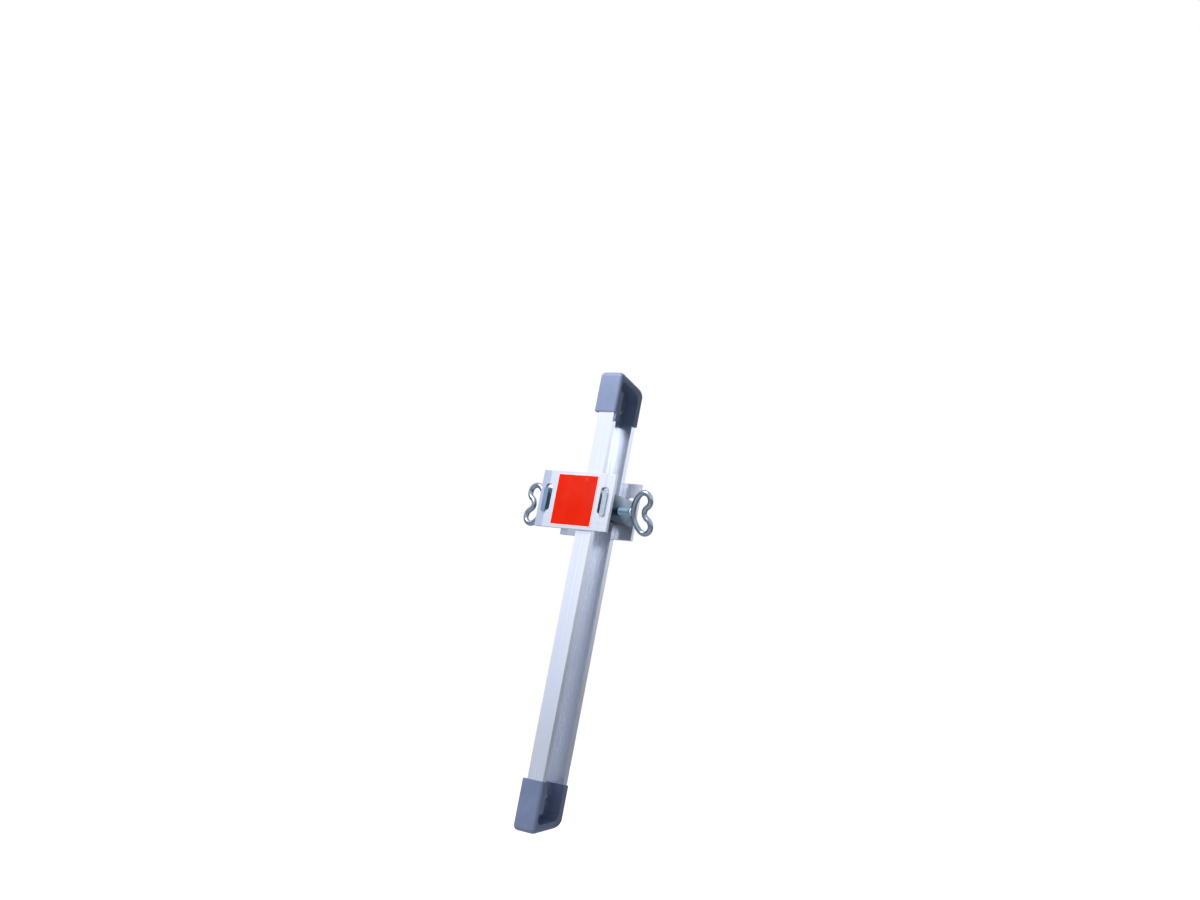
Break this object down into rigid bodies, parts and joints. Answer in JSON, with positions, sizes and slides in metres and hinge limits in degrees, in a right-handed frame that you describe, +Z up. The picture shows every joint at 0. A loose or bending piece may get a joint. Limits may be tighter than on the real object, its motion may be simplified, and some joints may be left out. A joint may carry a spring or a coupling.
{
  "type": "ladder leveller",
  "caption": "Ladder leveller: channel leg with slant-soled boots at its ends, sliding in a plate clamp with wire-loop screws beside a ladder's side rail.",
  "frame": {"origin": "middle of the pocket in the clamp that takes the ladder's side rail", "axes": "+X from the rail to the leg, +Y from the labelled front to the back, +Z up along the leg"},
  "size_m": [0.2379, 0.0714, 0.6719],
  "materials": {
    "leg_aluminium": "anodised satin extrusion",
    "boot_rubber": "moulded matte",
    "rivet_aluminium": "bright",
    "plate_aluminium": "satin",
    "label_vinyl": "satin print",
    "bar_steel": "zinc plated",
    "spacer_plastic": "moulded matte",
    "black_rubber": "matte",
    "zinc_steel": "zinc plated"
  },
  "bodies": {
    "clamp": {"front_plate": "plate_aluminium", "front_label": "label_vinyl", "back_plate": "plate_aluminium", "leg_side_bar": "bar_steel", "rail_side_bar": "bar_steel", "spacer_block": "spacer_plastic", "rail_grip_pad": "black_rubber", "spacer_screws": "zinc_steel"},
    "leg": {"leg_channel": "leg_aluminium", "foot_boot": "boot_rubber", "top_boot": "boot_rubber", "foot_boot_rivets": "rivet_aluminium", "top_boot_rivets": "rivet_aluminium"},
    "leg_pad": {"leg_pressure_pad": "zinc_steel", "leg_pad_facing": "black_rubber", "leg_pad_clip": "zinc_steel"},
    "leg_clamp_screw": {"leg_screw": "zinc_steel", "leg_screw_loop": "zinc_steel"},
    "rail_pad": {"rail_pressure_pad": "zinc_steel", "rail_pad_facing": "black_rubber", "rail_pad_clip": "zinc_steel"},
    "rail_clamp_screw": {"rail_screw": "zinc_steel", "rail_screw_loop": "zinc_steel"}
  },
  "joints": [
    {"name": "leg_slide", "type": "slide", "parent": "clamp", "child": "leg", "axis": [0, 0, 1], "range_m": [-0.08, 0.357]},
    {"name": "leg_pad_press", "type": "slide", "parent": "clamp", "child": "leg_pad", "axis": [1, 0, 0], "range_m": [0, 0.00675]},
    {"name": "leg_screw_turn", "type": "hinge", "parent": "leg_pad", "child": "leg_clamp_screw", "pos_m": [0.0729, 0, -0.005], "axis": [1, 0, 0], "range_deg": [0, 1620]},
    {"name": "rail_pad_press", "type": "slide", "parent": "clamp", "child": "rail_pad", "axis": [-1, 0, 0], "range_m": [-0.0075, 0.0009]},
    {"name": "rail_screw_turn", "type": "hinge", "parent": "rail_pad", "child": "rail_clamp_screw", "pos_m": [-0.029, 0, -0.005], "axis": [-1, 0, 0], "range_deg": [-1800, 216]}
  ],
  "couplings": [
    {"joint": "leg_pad_press", "follows": "leg_screw_turn", "m_per_rad": 0.00023873},
    {"joint": "rail_pad_press", "follows": "rail_screw_turn", "m_per_rad": 0.00023873}
  ]
}
